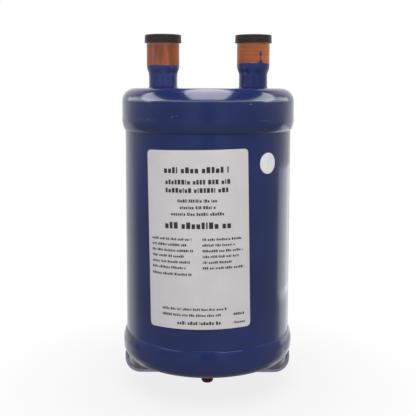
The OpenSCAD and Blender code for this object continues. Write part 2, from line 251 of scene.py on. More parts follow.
def lathe(name, section, axis_x=0.0, steps=ROUND_STEPS, angle=35):
    """Turns a half section of (radius, height) points about an upright axis."""
    piece = chain(name, [(axis_x + r, 0, z) for r, z in section])
    edit(piece)
    bpy.ops.mesh.spin(steps=steps, angle=2 * math.pi, center=(axis_x, 0, 0), axis=(0, 0, 1))
    bpy.ops.object.mode_set(mode="OBJECT")
    close_up(piece, angle)
    return piece


def arc(r, z, radius, start, end, steps=8):
    """Points of an arc in a half section, with its angles in degrees from the outward direction."""
    turns = [math.radians(start + (end - start) * i / steps) for i in range(steps + 1)]
    return [(r + radius * math.cos(t), z + radius * math.sin(t)) for t in turns]


def flare(r0, r1, z, height, steps=12):
    """Points of a smooth change of radius."""
    return [(r0 + (r1 - r0) * (1 - math.cos(math.pi * i / steps)) / 2, z + height * i / steps)
            for i in range(steps + 1)]


def apply(piece, kind, **settings):
    """Adds a modifier with its settings and applies it."""
    only(piece)
    bpy.ops.object.modifier_add(type=kind)
    modifier = piece.modifiers[-1]
    for key, value in settings.items():
        setattr(modifier, key, value)
    bpy.ops.object.modifier_apply(modifier=modifier.name)


def cut(piece, cutter):
    """Cuts one piece out of another and throws the cutter away."""
    apply(piece, "BOOLEAN", operation="DIFFERENCE", solver="EXACT", object=cutter)
    bpy.data.objects.remove(cutter)


def ripple(piece, height, size):
    """Moves a surface in and out by slow waves of the given height and size."""
    clouds = bpy.data.textures.new(piece.name, "CLOUDS")
    clouds.noise_scale = size
    clouds.noise_depth = 1
    apply(piece, "DISPLACE", texture=clouds, texture_coords="LOCAL", strength=height, mid_level=0.5)
    bpy.data.textures.remove(clouds)


def bevel(piece, width, segments, angle):
    """Rounds the edges that are sharper than an angle."""
    apply(piece, "BEVEL", width=width, segments=segments, limit_method="ANGLE",
          angle_limit=math.radians(angle))


def join(piece, other):
    """Makes another mesh a part of a piece."""
    only(piece)
    other.select_set(True)
    bpy.ops.object.join()


def slice_up(piece, along, step, count):
    """Cuts a piece into slices along a direction, a number of them to each side of the middle."""
    edit(piece)
    for i in range(-count, count + 1):
        bpy.ops.mesh.select_all(action="SELECT")
        bpy.ops.mesh.bisect(plane_co=[i * step * c for c in along], plane_no=along)
    bpy.ops.object.mode_set(mode="OBJECT")


def wrap(piece, radius, turn, height, lean=0.0):
    """Wraps a flat drawing in columns, x along the girth and y up, round the upright axis."""
    half = max(abs(v.co.x) for v in piece.data.vertices)
    slice_up(piece, (1, 0, 0), FILM_COLUMN, int(half / FILM_COLUMN))
    for v in piece.data.vertices:
        x = v.co.x * math.cos(lean) - v.co.y * math.sin(lean)
        y = v.co.x * math.sin(lean) + v.co.y * math.cos(lean)
        place = turn + x / radius
        v.co = (radius * math.sin(place), -radius * math.cos(place), height + y)


def thicken(piece, thickness):
    """Gives a wrapped film its thickness, half to each side, with its faces turned out."""
    apply(piece, "SOLIDIFY", thickness=thickness, offset=0)
    close_up(piece, merge=thickness / 50)


def dress(piece, node, body, finish):
    """Lets a piece stand for its CAD node, ride on its body and wear its finish."""
    piece.data.materials.clear()
    piece.data.materials.append(finish)
    if node:
        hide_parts(node)
    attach(piece, body)


def twin(piece, name, shift):
    """Copies a piece with a mesh of its own, moved along x."""
    only(piece)
    bpy.ops.object.duplicate()
    copy = named(name)
    copy.location.x += shift
    settle(copy)
    return copy


def span(node):
    """Outer radius, middle, lowest and highest point of an upright round CAD node."""
    low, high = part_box(node)
    return (high[0] - low[0]) / 2, (high[0] + low[0]) / 2, low[2], high[2]


# Materials

# Inputs of the Mix node, by number because their names repeat: its share, two numbers, two colours.
SHARE, FROM, TO, FROM_COLOUR, TO_COLOUR = 0, 2, 3, 6, 7
PEEL_RELIEF = 0.012 * MM


def connect(target, links):
    """Links a node's inputs to sockets or to the outputs of other nodes, or sets them to values."""
    for key, value in links.items():
        socket = target.inputs[key]
        if isinstance(value, bpy.types.Node):
            value = next(output for output in value.outputs if output.enabled)
        if isinstance(value, bpy.types.NodeSocket):
            target.id_data.links.new(value, socket)
        elif socket.type == "RGBA":
            socket.default_value = tuple(value) + (1,)
        else:
            socket.default_value = value


def node(tree, kind, links=None, stops=(), **settings):
    """Adds a shader node with its settings, the stops of its ramp and its links."""
    made = tree.nodes.new("ShaderNode" + kind)
    for key, value in settings.items():
        setattr(made, key, value)
    for i, (position, value) in enumerate(stops):
        elements = made.color_ramp.elements
        element = elements[i] if i < len(elements) else elements.new(position)
        element.position = position
        element.color = (value,) * 3 + (1,) if isinstance(value, (int, float)) else tuple(value) + (1,)
    connect(made, links or {})
    return made


def surface(name, **constants):
    """Starts a material. Gives it, what adds nodes to it, its shader and its Object coordinates."""
    finish = bpy.data.materials.new(name)
    finish.use_nodes = True
    new = functools.partial(node, finish.node_tree)
    shader = finish.node_tree.nodes["Principled BSDF"]
    connect(shader, constants)
    return finish, new, shader, new("TexCoord").outputs["Object"]


def enamel_inputs(new, place, full, thinner):
    """Colour, roughness and height of the enamel, for every piece that carries it."""
    # Stoved alkyd enamel, sprayed in one coat: orange peel about 3 mm across, a slow change in
    # film thickness, and dust nibs that are drawn a little larger than life so that they show.
    slow = new("TexNoise", {"Vector": place, "Scale": GRAIN / (26 * MM), "Detail": 3})
    thin = new("ValToRGB", {"Fac": slow}, [(0.35, 0.0), (0.7, 1.0)])
    tone = new("Mix", {SHARE: thin, FROM_COLOUR: full, TO_COLOUR: thinner}, data_type="RGBA")
    peel = new("TexNoise", {"Vector": place, "Scale": GRAIN / (3.2 * MM), "Detail": 1})
    dust = new("TexNoise", {"Vector": place, "Scale": GRAIN / (1.1 * MM), "Detail": 0})
    nib = new("ValToRGB", {"Fac": dust}, [(0.74, 0.0), (0.8, 1.0)])
    height = new("Math", {0: peel, 1: nib}, operation="ADD")
    dull = new("TexNoise", {"Vector": place, "Scale": GRAIN / (9 * MM), "Detail": 3})
    rough = new("MapRange", {"Value": dull, "To Min": 0.1, "To Max": 0.2})
    return tone, rough, height


def enamel(colours):
    """Gloss enamel of the vessel, its lap welds and the braze rings."""
    finish, new, shader, place = surface("Gloss dark blue enamel", Metallic=0.0, IOR=1.5)
    tone, rough, height = enamel_inputs(new, place, colours.enamel, colours.enamel_thin)
    bump = new("Bump", {"Height": height, "Distance": PEEL_RELIEF, "Strength": 1.0})
    connect(shader, {"Base Color": tone, "Roughness": rough, "Normal": bump})
    return finish


def paint_run(new, xyz, axis_x, edge, side, reach):
    """Share of paint in a run over the enamel's edge: a foot, a thin neck and a bulb, on the front."""
    half_foot = 3.4 * MM
    thin_film = 0.3
    rise = new("MapRange", {"Value": xyz["Z"], "From Min": edge - MM, "From Max": edge + reach})
    width = new("ValToRGB", {"Fac": rise}, [
        (0.0, 1.0), (0.1, 0.8), (0.2, 0.44), (0.36, 0.27), (0.48, 0.3), (0.6, 0.49), (0.7, 0.47),
        (0.8, 0.31), (0.92, 0.0)])
    off = new("Math", {0: xyz["X"], 1: axis_x + side}, operation="SUBTRACT")
    off = new("Math", {0: off}, operation="ABSOLUTE")
    off = new("MapRange", {"Value": off, "From Max": half_foot})
    inside = new("Math", {0: width, 1: off}, operation="SUBTRACT")
    inside = new("MapRange", {"Value": inside, "From Max": thin_film})
    front = new("Math", {0: xyz["Y"], 1: 0.0}, operation="LESS_THAN")
    return new("Math", {0: inside, 1: front}, operation="MULTIPLY")


def painted_copper(name, colours, axis_x, edge, covered, streak, stain, tones, run=None):
    """Copper tube whose lower part carries the vessel's enamel, up to a ragged edge."""
    # Drawn and belled copper tube: rose and brown oxide in streaks along the drawing direction or round it,
    # lighter and more orange towards its right, clean under the dust cap with a painted light band just
    # below the lip against the lip's shade, and the enamel ends where the masking stopped, dry and duller
    # near it.
    # Height of the tears in the paint's edge and of its soft border, and thickness of its film.
    tear, fade, film = 0.6 * MM, 0.12 * MM, 0.12 * MM
    finish, new, shader, place = surface(name)
    # The lighter stub tone that the enamel mixes in here is painted reflection.
    paint, paint_rough, paint_height = enamel_inputs(new, place, colours.enamel_thin, colours.enamel_stub)
    xyz = new("SeparateXYZ", {"Vector": place}).outputs
    drawn = new("Mapping", {"Vector": place, "Scale": streak})
    streaks = new("TexNoise", {"Vector": drawn, "Scale": GRAIN / (2.2 * MM), "Detail": 5})
    clouds = new("TexNoise", {"Vector": place, "Scale": GRAIN / (8 * MM), "Detail": 4})
    tone = new("ValToRGB", {"Fac": clouds}, [(0.35, tones[0]), (0.5, tones[1]), (0.66, tones[0])])
    oxide = new("ValToRGB", {"Fac": streaks}, [(0.38, stain), (0.6, 0.0)])
    # Lighter and more orange towards the right of each connection.
    right_side_share = new("MapRange", {
        "Value": xyz["X"], "From Min": axis_x + 2 * MM, "From Max": axis_x + 11 * MM, "To Max": 0.85})
    warm = new("Mix", {SHARE: right_side_share, FROM_COLOUR: tone, TO_COLOUR: tones[2]}, data_type="RGBA")
    brown = new("Mix", {
        SHARE: oxide, FROM_COLOUR: warm, TO_COLOUR: colours.copper_brown}, data_type="RGBA")
    # Lighter band just below the dust cap's lip: painted light that lifts the lip's shade; under the cap
    # the copper is clean.
    clean_and_lit_band = new("MapRange", {"Value": xyz["Z"], "From Min": covered - 2.4 * MM, "From Max": covered})
    metal_tone = new("Mix", {
        SHARE: clean_and_lit_band, FROM_COLOUR: brown, TO_COLOUR: colours.copper_clean_and_painted_light}, data_type="RGBA")
    copper_rough = new("MapRange", {"Value": streaks, "To Min": 0.5, "To Max": 0.4})
    dry = new("MapRange", {
        "Value": xyz["Z"], "From Min": edge - 9.5 * MM, "From Max": edge - 7 * MM, "To Max": 0.2})
    dry_rough = new("Math", {0: paint_rough, 1: dry}, operation="ADD")

    torn = new("TexNoise", {"Vector": place, "Scale": GRAIN / (3.5 * MM), "Detail": 3})
    ragged = new("MapRange", {"Value": torn, "To Min": -tear, "To Max": tear})
    over = new("Math", {0: xyz["Z"], 1: ragged}, operation="ADD")
    mask = new("MapRange", {"Value": over, "From Min": edge + fade, "From Max": edge - fade})
    if run:
        drip = paint_run(new, xyz, axis_x, edge, *run)
        mask = new("Math", {0: mask, 1: drip}, operation="MAXIMUM")

    base = new("Mix", {SHARE: mask, FROM_COLOUR: metal_tone, TO_COLOUR: paint}, data_type="RGBA")
    rough = new("Mix", {SHARE: mask, FROM: copper_rough, TO: dry_rough}, data_type="FLOAT")
    metal = new("MapRange", {"Value": mask, "To Min": 0.4, "To Max": 0.0})
    scratch = new("Bump", {"Height": streaks, "Distance": 0.02 * MM, "Strength": 1.0})
    peel = new("Bump", {
        "Height": paint_height, "Distance": PEEL_RELIEF, "Strength": 1.0, "Normal": scratch})
    step = new("Bump", {"Height": mask, "Distance": film, "Strength": 1.0, "Normal": peel})
    connect(shader, {"Base Color": base, "Roughness": rough, "Metallic": metal, "Normal": step})
    return finish


EVEN = (1, 1, 1)
# Finishes of two close tones in grains. Each has its two tones, as a colour and its factor, the size
# of its grains and their relief in millimetres, how they are stretched, its roughness from grain to
# grain, and its constants.
FINISHES = {
    # The vessel's enamel on the foot, drawn paler and greyer as a painted reflection of the pale room, and
    # half matt.
    "Dusty enamel": (
        ("enamel_foot", 0.85), ("enamel_foot", 1.15), 3, 0.012, EVEN, (0.18, 0.3), {"IOR": 1.5}),
    # Injection moulded low density polyethylene: soft gloss with a fine speckle of bloom.
    "Moulded black polyethylene": (
        ("polyethylene", 0.65), ("polyethylene", 1.1), 0.5, 0.01, EVEN, (0.4, 0.55), {"IOR": 1.45}),
    # Plastisol that was dipped and cured on a pin: smooth, glossy and slightly wavy.
    "Dip moulded red vinyl": (("vinyl", 1), ("vinyl", 1.2), 2, 0.01, EVEN, (0.35, 0.45), {"IOR": 1.35}),
    # Silver pigmented polyester with a satin overlay: faint mottle from the adhesive below.
    "Satin polyester film": (("film", 1), ("film", 1.06), 7, 0.006, EVEN, (0.34, 0.44), {"IOR": 1.57}),
    # Wax resin ribbon print: dark and flat, with the satin film showing through a little.
    "Thermal transfer ink": (("ink", 1), ("ink", 1.5), 0.9, 0.002, EVEN, (0.45, 0.55), {"IOR": 1.5}),
    # Thin aluminised film, drawn matt and near white: painted light that makes up for the little light on
    # its turned face, with fine upright brush lines.
    "Silver foil": (
        ("foil", 1), ("foil", 0.86), 0.9, 0.01, (1, 1, 0.22), (0.28, 0.4), {"Metallic": 0.0}),
    # Electroplated and passivated bolt: fine crystalline sparkle over a rolled thread.
    "Bright zinc plate": (("zinc", 1), ("zinc", 0.7), 0.6, 0.01, EVEN, (0.25, 0.42), {"Metallic": 1.0}),
    # Bare mill finish inside the vessel: fine lines of rolling, slightly oiled.
    "Cold rolled steel": (
        ("steel", 1), ("steel", 0.75), 1.2, 0.01, (1, 1, 0.15), (0.3, 0.45), {"Metallic": 1.0}),
    # Drawn copper of the pick-up tube, lightly oxidised by the brazing heat.
    "Drawn copper": (
        ("copper", 1), ("copper_brown", 1), 4, 0.01, (1, 1, 0.3), (0.3, 0.5), {"Metallic": 1.0}),
}


def finish_of(name):
    """The finish with this name, made when it is first asked for."""
    made = bpy.data.materials.get(name)
    if made:
        return made
    colours = bpy.context.scene.accumulator_colours
    if name == "Gloss dark blue enamel":
        return enamel(colours)
    *tones, size, relief, stretch, (smooth, dull), constants = FINISHES[name]
    first, second = ([min(1.0, c * factor) for c in getattr(colours, key)] for key, factor in tones)
    finish, new, shader, place = surface(name, **constants)
    drawn = new("Mapping", {"Vector": place, "Scale": stretch})
    grains = new("TexNoise", {"Vector": drawn, "Scale": GRAIN / (size * MM), "Detail": 3})
    share = new("ValToRGB", {"Fac": grains}, [(0.3, 0.0), (0.7, 1.0)])
    tone = new("Mix", {SHARE: share, FROM_COLOUR: first, TO_COLOUR: second}, data_type="RGBA")
    gloss = new("MapRange", {"Value": grains, "To Min": smooth, "To Max": dull})
    bump = new("Bump", {"Height": grains, "Distance": relief * MM, "Strength": 1.0})
    connect(shader, {"Base Color": tone, "Roughness": gloss, "Normal": bump})
    return finish


# Operators


class ACCUMULATOR_OT_vessel(bpy.types.Operator):
    """Turns the shell and draws the two caps that lap over its ends"""
    bl_idname = "accumulator.vessel"
    bl_label = "Shell and caps"

    def execute(self, context):
        sizes = context.scene.accumulator_sizes
        finish = finish_of("Gloss dark blue enamel")
        radius, _, low, high = span("shell")
        inner = radius - sizes.cap_wall
        shell = lathe("accumulator_shell", [
            (inner, low), (radius, low), (radius, high), (inner, high), (inner, low)])
        dress(shell, "shell", "vessel", finish)

        for node_name, up in (("top_cap", 1), ("bottom_cap", -1)):
            radius, _, low, high = span(node_name)
            face, rim = (high, low) if up == 1 else (low, high)
            skirt = radius - sizes.cap_wall
            bend = sizes.knuckle
            inside = bend - sizes.cap_wall
            section = [(0, face)]
            section += arc(radius - bend, face - up * bend, bend, up * 90, 0, 14)
            section += [(radius, rim), (skirt, rim)]
            section += arc(radius - bend, face - up * bend, inside, 0, up * 90, 10)
            section += [(0, face - up * sizes.cap_wall)]
            cap = lathe("accumulator_" + node_name, section)
            if up == 1:
                for stub in ("inlet_stub", "outlet_stub"):
                    bell_r, axis_x, _, _ = span(stub)
                    cutter = add(
                        "hole", bpy.ops.mesh.primitive_cylinder_add, vertices=SMALL_STEPS, depth=CUTTER,
                        radius=bell_r - sizes.bell_wall, location=(axis_x, 0, face))
                    settle(cutter)
                    cut(cap, cutter)
                for angle, height, wide, tall, tilt in PAINT_NIBS:
                    turn = math.radians(angle)
                    drop = add(
                        "nib", bpy.ops.mesh.primitive_uv_sphere_add, segments=16, ring_count=8, radius=MM,
                        rotation=(0, math.radians(tilt), turn),
                        location=(radius * math.sin(turn), -radius * math.cos(turn), height * MM))
                    drop.scale = (wide, NIB_DEPTH, tall)
                    settle(drop)
                    join(cap, drop)
                close_up(cap)
            dress(cap, node_name, "vessel", finish)
        return {"FINISHED"}


class ACCUMULATOR_OT_lap_welds(bpy.types.Operator):
    """Lays the convex welds that join the caps to the shell"""
    bl_idname = "accumulator.lap_welds"
    bl_label = "Lap welds"

    def execute(self, context):
        sizes = context.scene.accumulator_sizes
        shell_r = span("shell")[0]
        cap_r = span("top_cap")[0]
        buried = 0.5 * MM
        steps = 32
        for node_name, up in (("top_weld_bead", 1), ("bottom_weld_bead", -1)):
            _, _, low, high = span(node_name)
            cap_toe, shell_toe = (high, low) if up == 1 else (low, high)
            section = [(cap_r - buried, cap_toe)]
            for i in range(steps + 1):
                t = math.sin(math.pi / 2 * i / steps)
                drop = (cap_r - shell_r) * (1 - max(0.0, 1 - t ** 2.6) ** 0.6)
                crown = sizes.weld_crown * math.sin(math.pi * min(1.0, t / 0.8)) ** 2
                section.append((cap_r - drop + crown, cap_toe + (shell_toe - cap_toe) * t))
            section += [(shell_r - buried, shell_toe), section[0]]
            bead = lathe("accumulator_" + node_name, section, steps=240, angle=60)
            ripple(bead, height=sizes.weld_wave, size=11 * MM)
            close_up(bead, 60)
            dress(bead, node_name, "vessel", finish_of("Gloss dark blue enamel"))
        return {"FINISHED"}


class ACCUMULATOR_OT_connections(bpy.types.Operator):
    """Turns the belled copper connections and the braze fillets under them"""
    bl_idname = "accumulator.connections"
    bl_label = "Copper connections"

    def execute(self, context):
        sizes = context.scene.accumulator_sizes
        colours = context.scene.accumulator_colours
        # Each side's paint line, scale of its streaks, share of brown, copper tones and paint run.
        coats = {
            "inlet": (sizes.paint_inlet, (1, 1, 0.16), 0.65,
                      (colours.copper_rose, colours.copper_orange, colours.copper_orange), None),
            "outlet": (sizes.paint_outlet, (0.16, 0.16, 2.6), 0.32,
                       (colours.copper_orange, colours.copper_orange, colours.copper_warm),
                       (sizes.run_side, sizes.run_length)),
        }
        for side, (edge, streak, stain, tones, run) in coats.items():
            bell_r, axis_x, low, high = span(side + "_stub")
            socket_r = bell_r - sizes.bell_wall
            tube_r = socket_r - SOLDER_GAP
            bore_r = tube_r - sizes.tube_wall
            lip = 0.35 * MM
            section = [(bore_r, low), (tube_r, low)]
            section += flare(tube_r, bell_r, sizes.neck_top, sizes.flare)
            section += arc(bell_r - lip, high - lip, lip, 0, 90, 4)
            section += arc(socket_r + lip, high - lip, lip, 90, 180, 4)
            section += flare(bore_r, socket_r, sizes.neck_top + 1.2 * MM, sizes.flare)[::-1]
            section += [(bore_r, low)]
            stub = lathe("accumulator_%s_stub" % side, section, axis_x, SMALL_STEPS)
            covered = span(side + "_dust_cap")[2]
            finish = painted_copper("Drawn copper, enamelled below, " + side, colours, axis_x, edge,
                                    covered, streak, stain, tones, run)
            dress(stub, side + "_stub", "vessel", finish)

            ring_r, axis_x, low, high = span(side + "_braze_ring")
            leg = ring_r - tube_r
            inner, sunk = tube_r - 0.3 * MM, low - 0.1 * MM
            section = [(inner, sunk), (ring_r, sunk)]
            section += arc(ring_r, low + leg, leg, 270, 180, 8)
            section += [(inner, high), section[0]]
            ring = lathe("accumulator_%s_braze_ring" % side, section, axis_x, SMALL_STEPS, 50)
            dress(ring, side + "_braze_ring", "vessel", finish_of("Gloss dark blue enamel"))
        return {"FINISHED"}


class ACCUMULATOR_OT_foot(bpy.types.Operator):
    """Bends the foot strap from flat bar and welds its ends to the bottom cap"""
    bl_idname = "accumulator.foot"
    bl_label = "Foot strap and its welds"

    def cap_form(self, sizes):
        """Solid outer form of the bottom cap, to cope what is welded to it."""
        radius, _, low, high = span("bottom_cap")
        section = [(0, low)] + arc(radius - sizes.knuckle, low + sizes.knuckle, sizes.knuckle, -90, 0, 12)
        return lathe("cope", section + [(radius, high), (0, high)])

    def execute(self, context):
        sizes = context.scene.accumulator_sizes
        # The foot's paler enamel is a painted reflection.
        finish = finish_of("Dusty enamel")
        low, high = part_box("foot_strap")
        half, end = high[0], high[2]
        thick = sizes.strap_thick
        mid = sizes.strap_bend - thick / 2
        line = [(thick / 2 - half, end)]
        line += [(sizes.strap_bend - half - mid * math.cos(math.radians(a)),
                  sizes.strap_bend - mid * math.sin(math.radians(a))) for a in range(0, 91, 9)]
        line += [(-x, z) for x, z in reversed(line)]
        strap = chain("accumulator_foot_strap", [(x, low[1], z) for x, z in line])
        edit(strap)
        bpy.ops.mesh.extrude_region_move(TRANSFORM_OT_translate={"value": (0, high[1] - low[1], 0)})
        bpy.ops.object.mode_set(mode="OBJECT")
        apply(strap, "SOLIDIFY", thickness=thick, offset=0, use_even_offset=True)
        close_up(strap)
        bevel(strap, sizes.strap_edge, segments=5, angle=40)
        cut(strap, self.cap_form(sizes))
        hole_r = 4.3 * MM
        cut(strap, add("bolt_hole", bpy.ops.mesh.primitive_cylinder_add, vertices=48, radius=hole_r,
                       depth=CUTTER))
        close_up(strap, 40)
        dress(strap, "foot_strap", "vessel", finish)

        for name in ("foot_weld_left", "foot_weld_right"):
            low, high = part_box(name)
            side = 1 if high[0] > 0 else -1
            radius, wave, bite, room = 3 * MM, 0.5 * MM, 0.3 * MM, 40 * MM
            out = max(abs(low[0]), abs(high[0])) - radius
            weld = add(
                "accumulator_" + name, bpy.ops.mesh.primitive_cylinder_add, vertices=32, radius=radius,
                depth=high[1] - low[1] - 0.8 * MM, location=(side * out, 0, end),
                rotation=(math.pi / 2, 0, 0))
            settle(weld)
            bevel(weld, 1.6 * MM, segments=4, angle=40)
            slice_up(weld, (0, 1, 0), MM, 12)
            ripple(weld, height=wave, size=2.2 * MM)
            below = add("strap_room", bpy.ops.mesh.primitive_cube_add, size=room,
                        location=(side * out, 0, end - room / 2 - bite))
            settle(below)
            cut(weld, below)
            cut(weld, self.cap_form(sizes))
            close_up(weld, 50)
            dress(weld, name, "vessel", finish)
        return {"FINISHED"}


class ACCUMULATOR_OT_bolt(bpy.types.Operator):
    """Makes the hexagon bolt with its rolled thread"""
    bl_idname = "accumulator.bolt"
    bl_label = "Mounting bolt"

    def execute(self, context):
        sizes = context.scene.accumulator_sizes
        low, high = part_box("mounting_bolt")
        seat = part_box("foot_strap")[0][2] + sizes.strap_thick
        flats = min(high[0] - low[0], high[1] - low[1]) / 2
        head = add(
            "accumulator_mounting_bolt", bpy.ops.mesh.primitive_cylinder_add, vertices=6,
            radius=flats / math.cos(math.pi / 6), depth=high[2] - seat,
            location=(0, 0, (high[2] + seat) / 2), rotation=(0, 0, math.pi / 6))
        settle(head)
        wide, face, top = flats * 1.3, flats * 0.95, high[2]
        crown = lathe("crown", [
            (0, seat - MM), (wide, seat - MM), (wide, top - 1.35 * MM), (face, top - 0.05 * MM),
            (face, top + MM), (0, top + MM)], steps=72)
        apply(head, "BOOLEAN", operation="INTERSECT", solver="EXACT", object=crown)
        bpy.data.objects.remove(crown)
        bevel(head, 0.15 * MM, segments=2, angle=25)

        # A metric thread is 0.61 of its pitch deep, with a crest about an eighth of it wide.
        radius = 4 * MM
        root = radius - 0.61 * sizes.pitch
        section = [(0, low[2]), (root, low[2])]
        z = low[2] + 0.5 * MM
        while z + sizes.pitch < seat:
            section += [(root, z), (radius, z + 0.44 * sizes.pitch), (radius, z + 0.56 * sizes.pitch)]
            z += sizes.pitch
        section += [(root, z), (root, seat + MM), (0, seat + MM)]
        shank = lathe("shank", section, steps=48, angle=25)
        join(head, shank)
        bpy.ops.object.shade_smooth_by_angle(angle=math.radians(30))
        dress(head, "mounting_bolt", "vessel", finish_of("Bright zinc plate"))
        return {"FINISHED"}


class ACCUMULATOR_OT_transit_caps(bpy.types.Operator):
    """Moulds the two black dust caps and the red thread cap"""
    bl_idname = "accumulator.transit_caps"
    bl_label = "Transit caps"

    def execute(self, context):
        outer, axis_x, low, high = span("inlet_dust_cap")
        bore = span("inlet_stub")[0] + 0.05 * MM
        side = outer - 0.25 * MM
        edge = 0.9 * MM
        bead = 1.1 * MM
        mouth = 0.3 * MM
        inside = high - 1.2 * MM
        gate = high - 0.25 * MM
        section = [(0, gate), (1.1 * MM, gate), (1.4 * MM, high)]
        section += arc(side - 0.1 * MM - edge, high - edge, edge, 90, 0, 8)
        section += [(side, low + bead + 0.25 * MM)]
        section += arc(side - 0.35 * MM, low + bead / 2, bead / 2, 60, -90, 8)
        section += arc(bore + mouth, low + mouth, mouth, -90, -180, 4)
        section += [(bore, inside), (0, inside)]
        cap = lathe("accumulator_inlet_dust_cap", section, axis_x, SMALL_STEPS, 40)
        other = twin(cap, "accumulator_outlet_dust_cap", span("outlet_dust_cap")[1] - axis_x)
        finish = finish_of("Moulded black polyethylene")
        dress(cap, "inlet_dust_cap", "inlet_cap", finish)
        dress(other, "outlet_dust_cap", "outlet_cap", finish)

        outer, axis_x, low, high = span("bolt_thread_cap")
        bore = 4.05 * MM
        edge = 2.2 * MM
        section = [(0, low)] + arc(outer - edge, low + edge, edge, -90, 0, 10)
        section += arc(outer - mouth, high - mouth, mouth, 0, 90, 4)
        inside = low + 1.2 * MM
        section += [(bore, high), (bore, low + 2.1 * MM), (bore - 0.9 * MM, inside), (0, inside)]
        thread_cap = lathe("accumulator_bolt_thread_cap", section, axis_x, 64, 45)
        dress(thread_cap, "bolt_thread_cap", "thread_cap", finish_of("Dip moulded red vinyl"))
        return {"FINISHED"}


# Print on the label: distance below its top edge, left and right end, height, all in millimetres.
# Each line is split into word-long bars.
PRINT_LINES = (
    (16.5, -24, 24, 4.6), (24.6, -23, 24, 3.6), (30.6, -23, 24, 3.6), (37.6, -14, 15, 2.4),
    (42.4, -12, 13, 2.4), (47.2, -19, 20, 2.4), (56.8, -24, 24, 5.0), (65.4, -36, -4, 1.9),
    (65.4, 4, 33, 1.9), (69.6, -36, -8, 1.9), (69.6, 4, 28, 1.9), (73.8, -36, -3, 1.9),
    (73.8, 4, 34, 1.9), (78.0, -36, -10, 1.9), (78.0, 4, 31, 1.9), (82.2, -36, -6, 1.9),
    (82.2, 4, 25, 1.9), (86.4, -36, -9, 1.9), (86.4, 4, 34, 1.9), (91.2, -36, -5, 1.9),
    (117.0, -28, 20, 1.9), (121.4, -28, 16, 1.9), (127.6, -16, 16, 2.6), (121.4, 26, 34, 1.9),
    (127.6, 26, 34, 1.9),
)
# Width and height of the bars, as shares of their line's height.
BARS = ((0.5, 0.7), (0.55, 0.7), (0.6, 0.95), (0.22, 0.95), (0.45, 0.95))
# Gaps between bars and between words, in the same shares, and the fewest and most bars of a word.
BAR_GAP, WORD_GAP = 0.2, 0.4
WORD_BARS = (3, 8)
INK_FILM = 0.02 * MM


class ACCUMULATOR_OT_label(bpy.types.Operator):
    """Wraps the label round the shell and prints plain bars on it"""
    bl_idname = "accumulator.label"
    bl_label = "Label and its print"

    def execute(self, context):
        sizes = context.scene.accumulator_sizes
        shell_r = span("shell")[0]
        low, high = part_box("rating_label")
        turn = math.radians(-6.9)
        lean = math.radians(1.3)
        middle = (low[2] + high[2]) / 2
        label = add("accumulator_rating_label", bpy.ops.mesh.primitive_plane_add, size=1)
        label.scale = (sizes.label_width, sizes.label_height, 1)
        settle(label)
        edit(label)
        bpy.ops.mesh.bevel(affect="VERTICES", offset=sizes.label_corner, segments=8, offset_type="OFFSET")
        bpy.ops.object.mode_set(mode="OBJECT")
        wrap(label, shell_r + sizes.glue + sizes.film / 2, turn, middle, lean)
        thicken(label, sizes.film)
        dress(label, "rating_label", "vessel", finish_of("Satin polyester film"))

        words = random.Random(22)
        ink = add("accumulator_label_print", bpy.ops.mesh.primitive_plane_add, size=1)
        edit(ink)
        bpy.ops.mesh.delete(type="VERT")
        for drop, left, right, tall in PRINT_LINES:
            x = left
            letters = words.randint(*WORD_BARS)
            while x < right:
                wide, high = words.choice(BARS)
                rise = sizes.label_height / 2 - (drop - high * tall / 2) * MM
                spot = ((x + wide * tall / 2) * MM, rise, 0)
                bpy.ops.mesh.primitive_plane_add(size=MM, location=spot)
                bpy.ops.transform.resize(value=(wide * tall, high * tall, 1), center_override=spot)
                letters -= 1
                x += (wide + BAR_GAP) * tall
                if letters < 1:
                    letters = words.randint(*WORD_BARS)
                    x += WORD_GAP * tall
        bpy.ops.object.mode_set(mode="OBJECT")
        wrap(ink, shell_r + sizes.glue + sizes.film + INK_FILM / 2, turn, middle, lean)
        thicken(ink, INK_FILM)
        dress(ink, None, "vessel", finish_of("Thermal transfer ink"))
        return {"FINISHED"}


class ACCUMULATOR_OT_sticker(bpy.types.Operator):
    """Sticks the round foil disc on the shell"""
    bl_idname = "accumulator.sticker"
    bl_label = "Round sticker"

    def execute(self, context):
        sizes = context.scene.accumulator_sizes
        low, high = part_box("round_sticker")
        turn = math.atan2((low[0] + high[0]) / 2, -(low[1] + high[1]) / 2)
        sticker = add("accumulator_round_sticker", bpy.ops.mesh.primitive_circle_add, vertices=64,
                      radius=sizes.sticker / 2, fill_type="NGON")
        wrap(sticker, span("shell")[0] + sizes.glue + sizes.film / 2, turn, (low[2] + high[2]) / 2)
        thicken(sticker, sizes.film)
        dress(sticker, "round_sticker", "vessel", finish_of("Silver foil"))
        return {"FINISHED"}


class ACCUMULATOR_OT_inner_fittings(bpy.types.Operator):
    """Gives the CAD solids inside the vessel their finishes"""
    bl_idname = "accumulator.inner_fittings"
    bl_label = "Inner fittings"

    def execute(self, context):
        for name, finish in (("u_tube", "Drawn copper"), ("oil_strainer", "Bright zinc plate"),
                             ("tube_brace", "Cold rolled steel"), ("inlet_deflector", "Cold rolled steel")):
            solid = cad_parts[name]
            for place in solid.material_slots:
                place.material = finish_of(finish)
        return {"FINISHED"}


# Lamps that light a group of pieces alone, or are mirrored by it alone. A lamp belongs to the group whose
# word its name holds. Lengths are in metres, and brightness is a share of the ceiling's.
LAMP_GROUPS = {
    "panel": ("shell", "top_cap", "top_weld_bead", "bottom_cap"),
    "strip": ("shell", "top_cap", "top_weld_bead"),
    "sliver": ("bottom_weld_bead",),
    "foot": ("foot_strap", "foot_weld_left", "foot_weld_right"),
}
# In one slanting plane over the vessel: name, middle, width, near and far end, brightness.
CEILING_SLOPE = 0.74
CEILING_HEIGHT = 0.548
CEILING_FRONT = 0.06
CEILING_PANELS = (
    ("middle_panel", 0, 0.234, -0.33, 0.1, 1.0), ("rear_panel", 0, 0.24, 0.1, 2.0, 0.8),
    ("left_panel", -1.415, 1.97, -0.305, 0.31, 0.7), ("right_panel", 1.415, 1.97, -0.305, 0.31, 0.7),
)
